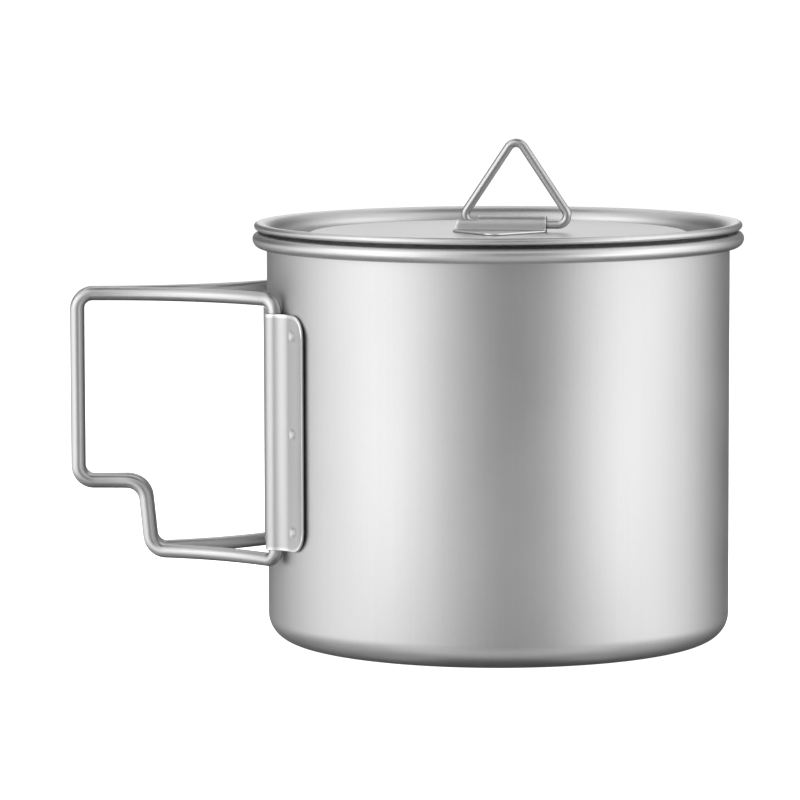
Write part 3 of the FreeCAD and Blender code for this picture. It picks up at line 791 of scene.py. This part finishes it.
# %% Bracket section
BRACKET_SHEET = 0.6 * MM
WALL_GAP = 0.15 * MM  # the sheet's inner face lies just off the wall
BRACKET_FACE = WALL_RADIUS + WALL_GAP
PIN_CIRCLE = WALL_RADIUS + 1.55 * MM  # radius on which the hinge pins stand
BARREL_BORE = 1.5 * MM  # radius
BARREL_LIP = 4.2 * MM  # bend from the flange up into the barrel
PIN_BEARING = 22  # degrees from -X to a hinge pin
FLANGE_BEARING = 34.4  # to the flange's edge
FLANGE_PIECES = 40
SPRUNG_EDGE = 0.3 * MM  # the welds hold the flange, and beyond them it springs off the wall
SPRUNG_LENGTH = 2.4 * MM


def angle_between(beside, also_beside, opposite):
    """A triangle's angle from its three sides, in degrees."""
    squares = beside ** 2 + also_beside ** 2 - opposite ** 2
    return math.degrees(math.acos(squares / (2 * beside * also_beside)))


to_lip = BRACKET_FACE + BARREL_LIP
lip_to_pin = BARREL_BORE + BARREL_LIP
lip_bearing = angle_between(PIN_CIRCLE, to_lip, lip_to_pin)
lip_turn = angle_between(to_lip, lip_to_pin, PIN_CIRCLE)
barrel = [
    bend(BARREL_LIP, lip_turn, 9),
    bend(BARREL_BORE, -2 * (lip_bearing + lip_turn), 40),
    bend(BARREL_LIP, lip_turn, 9),
]
flange = bend(BRACKET_FACE, lip_bearing - (FLANGE_BEARING - PIN_BEARING), FLANGE_PIECES)
web = bend(BRACKET_FACE, 2 * lip_bearing - 2 * PIN_BEARING, 20)
flange_turn = math.radians(FLANGE_BEARING)
bracket_start = (-BRACKET_FACE * math.cos(flange_turn), -BRACKET_FACE * math.sin(flange_turn))
bracket_steps = [flange] + barrel + [web] + barrel + [flange]
blank_length = sum(abs(turn) * (radius + math.copysign(BRACKET_SHEET / 2, -turn))
                   for _, radius, turn, _ in bracket_steps)


def sprung(along):
    """How far the flange stands off its true line, most at its very edge."""
    from_edge = min(along, blank_length - along)
    return SPRUNG_EDGE * max(0.0, 1 - from_edge / SPRUNG_LENGTH) ** 2


bracket_line = BentLine(bracket_start, 90 + FLANGE_BEARING, bracket_steps, BRACKET_SHEET, sprung)
print("bracket blank", round(bracket_line.length / MM, 2), "mm long")

# %% Bracket grid
# The grid is fine where a dent or a round corner needs it, and coarse elsewhere.
WELD_BEARING = 29.5  # degrees from -X to a column of welds
WELD_PITCH = 20.05 * MM
WELD_FIELD = 1.6 * MM  # how far from a weld's middle the grid is fine
FINE_STEP = 0.2 * MM
COARSE_STEP = 1.2 * MM
FLANGE_CORNER = 4.5 * MM
CORNER_PIECES = 9
ONE_STOP = 0.001 * MM  # two stops nearer to each other than this are one

middle_radius = BRACKET_FACE + BRACKET_SHEET / 2
weld_along = math.radians(FLANGE_BEARING - WELD_BEARING) * middle_radius
bracket_middle = (bracket_low.z + bracket_high.z) / 2
weld_levels = [bracket_middle + level * WELD_PITCH for level in (-1, 0, 1)]
flange_length = bracket_line.marks[FLANGE_PIECES]

corner_turns = [math.pi / 2 * index / CORNER_PIECES for index in range(CORNER_PIECES)]
half_stops = [FLANGE_CORNER * (1 - math.cos(turn)) for turn in corner_turns]
half_stops += stops_between(FLANGE_CORNER, flange_length, FINE_STEP)
half_stops += [mark for mark in bracket_line.marks
               if flange_length - ROUNDING <= mark <= bracket_line.length / 2 + ROUNDING]
other_half = [bracket_line.length - mark for mark in reversed(half_stops)]
if abs(other_half[0] - half_stops[-1]) < ONE_STOP:
    other_half = other_half[1:]
along_stops = half_stops + other_half

across_stops = []
edge = bracket_low.z
for level in weld_levels:
    across_stops += stops_between(edge, level - WELD_FIELD, COARSE_STEP)
    across_stops += stops_between(level - WELD_FIELD, level + WELD_FIELD, FINE_STEP)
    edge = level + WELD_FIELD
across_stops += stops_between(edge, bracket_high.z, COARSE_STEP) + [bracket_high.z]
bracket_tall = bracket_high.z - bracket_low.z
across_shares = [(stop - bracket_low.z) / bracket_tall for stop in across_stops]
print("bracket grid", len(along_stops), "by", len(across_stops))

# %% Bracket blank
def bracket_blank(row, column, inset):
    """A point of the bracket's blank, whose four corners are round."""
    along = along_stops[row]
    end = min(along, bracket_line.length - along)
    radius = FLANGE_CORNER
    cut = radius - math.sqrt(radius ** 2 - (radius - end) ** 2) if end < radius else 0.0
    low, high = bracket_low.z + cut, bracket_high.z - cut
    across = low + across_shares[column] * (high - low)
    if inset:
        slant = math.acos(min((radius - end) / radius, 1.0)) if end < radius else math.pi / 2
        from_edge = min(column, len(across_stops) - 1 - column)
        if row in (0, len(along_stops) - 1) or (from_edge == 0 and end < radius):
            along += math.copysign(inset * math.cos(slant), bracket_line.length / 2 - along)
        if from_edge == 0:
            across += math.copysign(inset * math.sin(slant), bracket_middle - across)
    return along, across


def bracket_dent(along, across):
    """How far the nearest weld pushes the flange in at a place of the blank."""
    along = min(along, bracket_line.length - along)
    level = min(weld_levels, key=lambda height: abs(height - across))
    return weld_dent(math.hypot(along - weld_along, across - level))


# %% Bracket
bracket_mesh = bent_sheet(
    "handle_bracket", bracket_line, BRACKET_SHEET, len(along_stops), len(across_stops),
    bracket_blank, lambda point, across: Vector((point.x, point.y, across)), dent=bracket_dent)
piece("bracket_sheet", bracket_mesh, "pot", bracket_finish, "handle_bracket")

# %% Bracket's welds
UP = Vector((0, 0, 1))
dent_floor_radius = BRACKET_FACE + BRACKET_SHEET - DENT_DEPTH
weld_places = []
for side in (-1, 1):
    turn = math.radians(180 - side * WELD_BEARING)
    outward = Vector((math.cos(turn), math.sin(turn), 0))
    for level in weld_levels:
        middle = outward * dent_floor_radius + Vector((0, 0, level))
        weld_places.append((middle, outward, UP))
weld_mesh = nuggets("bracket_spot_welds", weld_places)
piece("bracket_weld_nuggets", weld_mesh, "pot", weld_finish, "bracket_spot_welds")

# %% [markdown]
# ## The lid's clip
#
# The clip's flange is a triangle with a round tip, welded to the lid. Its straight side turns
# up and rolls over into a bore for the ring's wire. At its left end the roll is cut away
# down to a low front wall. The ring drops into that notch when it is pushed sideways, and
# stands up. The clip was welded on by hand and is turned a few degrees on the lid.
#
# A square grid doesn't fit a triangle, so the blank is lofted: each column of the grid runs
# from its place on the bend line to its share of the flange's outline.

# %% Clip sizes
CLIP_SHEET = 0.5 * MM
CLIP_LENGTH = 19.3 * MM
CLIP_TURN = math.radians(-9)
CLIP_SHIFT = 0.5 * MM  # off the lid's middle, to the right
RING_BORE = 1.3 * MM  # radius
PACKED_BORE = 1.05 * MM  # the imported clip's, which is tighter round the same axis
CLIP_BEND = 0.8 * MM  # at the sheet's underside
CLIP_TUCK = 70  # degrees that the edge is rolled on past half a turn
SIDE_ANGLE = math.radians(50)  # between the flange's sides and its bend line
TIP_RADIUS = 2.5 * MM
SIDE_SHARE = 0.55  # of each side that the front row of the blank takes
NOTCH_LENGTH = 4.95 * MM
LIP_ANGLE = 38  # degrees round the bore at which the notch's low wall ends
LIP_SLANT = 0.08  # how much the low wall narrows on its way up

clip_half = CLIP_LENGTH / 2
bend_line = RING_BORE + CLIP_BEND
tip_middle = clip_half * math.tan(SIDE_ANGLE) - TIP_RADIUS / math.cos(SIDE_ANGLE)
tip_reach = tip_middle + TIP_RADIUS
ring_axis = clip_high.z - PACKED_BORE - CLIP_SHEET
clip_rise = ring_axis - plateau_top - CLIP_BEND
print("clip's tip", round(tip_reach / MM, 2), "mm out, bore at height", round(ring_axis / MM, 2))

# %% Clip grid
FLANGE_ROWS = 24
NOTCH_STEP = 0.08  # columns beside the notch, in shares of half the clip's length
BORE_STEP = 0.05  # and along the rest of it

up_to_notch = [run(tip_reach, 10), bend(CLIP_BEND, 90, 8), run(clip_rise, 1),
               bend(RING_BORE, -LIP_ANGLE, 6)]
past_notch = bend(RING_BORE, LIP_ANGLE - 180 - CLIP_TUCK, 26)
clip_start = (-bend_line - tip_reach, plateau_top)
clip_line = BentLine(clip_start, 0, up_to_notch + [past_notch], CLIP_SHEET)
notch_mark = clip_line.marks[sum(pieces for _, _, _, pieces in up_to_notch)]
bend_stops = [mark for mark in clip_line.marks if mark > tip_reach + ROUNDING]
notch_row = FLANGE_ROWS + bend_stops.index(notch_mark) + 1
notch_share = 1 - NOTCH_LENGTH / clip_half
share_stops = stops_between(-1, -notch_share, NOTCH_STEP)
notch_column = len(share_stops)
share_stops += stops_between(-notch_share, 1, BORE_STEP) + [1.0]
clip_rows = FLANGE_ROWS + 1 + len(bend_stops)
print("clip grid", clip_rows, "by", len(share_stops), "notch from row", notch_row)

# %% Clip blank
def flange_rim(share, inset):
    """Across and outward place on the flange's outline, from one side over the tip to the other."""
    side_across = clip_half - TIP_RADIUS * math.sin(SIDE_ANGLE)
    side_run = side_across / math.cos(SIDE_ANGLE) * SIDE_SHARE
    tip_run = TIP_RADIUS * SIDE_ANGLE
    gone = abs(share) * (tip_run + side_run)
    turn = min(gone, tip_run) / TIP_RADIUS
    radius = TIP_RADIUS - inset
    across = radius * math.sin(turn)
    out = tip_middle + radius * math.cos(turn)
    if gone > tip_run:
        across += (gone - tip_run) * math.cos(SIDE_ANGLE)
        out -= (gone - tip_run) * math.sin(SIDE_ANGLE)
    return math.copysign(across, share), out


def clip_blank(row, column, inset):
    """A point of the clip's blank: a triangle, and then the strip that is bent and rolled."""
    share = share_stops[column]
    half = clip_half - inset
    if row <= FLANGE_ROWS:
        out_share = 1 - row / FLANGE_ROWS
        rim_across, rim_out = flange_rim(share, inset)
        across = share * half * (1 - out_share) + rim_across * out_share
        return tip_reach - rim_out * out_share, across
    along = bend_stops[row - FLANGE_ROWS - 1]
    across = share * half
    if row == clip_rows - 1:
        along -= inset
    if row == notch_row and column <= notch_column:
        along -= inset
    if row >= notch_row and column == notch_column:
        across = -notch_share * clip_half + inset
    if share < -notch_share:
        climb = (along - tip_reach) / (notch_mark - tip_reach)
        across += LIP_SLANT * clip_half * climb * (-share - notch_share) / (1 - notch_share)
    return along, across


# %% Clip
CLIP_EDGE_WEAR_AND_HIGHLIGHT = 0.5  # its edges get half the bracket's wear and painted highlight
WELD_SPREAD = 8.4 * MM  # between the clip's two welds
WELD_OUT = 4.2 * MM  # from the bend line to the clip's welds
clip_seat = Matrix.Rotation(CLIP_TURN, 4, "Z") @ Matrix.Translation((CLIP_SHIFT, 0, 0))


def clip_dent(along, across):
    """How far the nearer weld pushes the flange in at a place of the blank."""
    return weld_dent(math.hypot(along - (tip_reach - WELD_OUT), abs(across) - WELD_SPREAD / 2))


clip_mesh = bent_sheet(
    "lid_clip", clip_line, CLIP_SHEET, clip_rows, len(share_stops), clip_blank,
    lambda point, across: clip_seat @ Vector((across, point.x, point.y)),
    missing=lambda row, column: row >= notch_row and column < notch_column, dent=clip_dent,
    edge_wear_and_highlight=CLIP_EDGE_WEAR_AND_HIGHLIGHT)
piece("clip_sheet", clip_mesh, "lid", clip_finish, "lid_clip")

# %% Clip's welds
dent_floor_height = plateau_top + CLIP_SHEET - DENT_DEPTH
clip_weld_places = []
for side in (-1, 1):
    middle = Vector((side * WELD_SPREAD / 2, -bend_line - WELD_OUT, dent_floor_height))
    clip_weld_places.append((clip_seat @ middle, UP, clip_seat @ Vector((1, 0, 0))))
clip_weld_mesh = nuggets("clip_spot_welds", clip_weld_places)
piece("clip_weld_nuggets", clip_weld_mesh, "lid", weld_finish, "clip_spot_welds")

# %% [markdown]
# ## The wires
#
# The two handles and the ring are round wire, bent on a jig. They could be drawn again as
# curves with a round bevel, but their solids already have the true shape, with smooth bends,
# so they stay and only get their finish. The ring's thinner wire is the smoother of the two.

# %% Wires
for node, finish in (("right_handle", handle_finish), ("left_handle", handle_finish),
                     ("lid_ring", ring_finish)):
    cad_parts[node].material_slots[0].material = finish
    print(node, "in", finish.name)
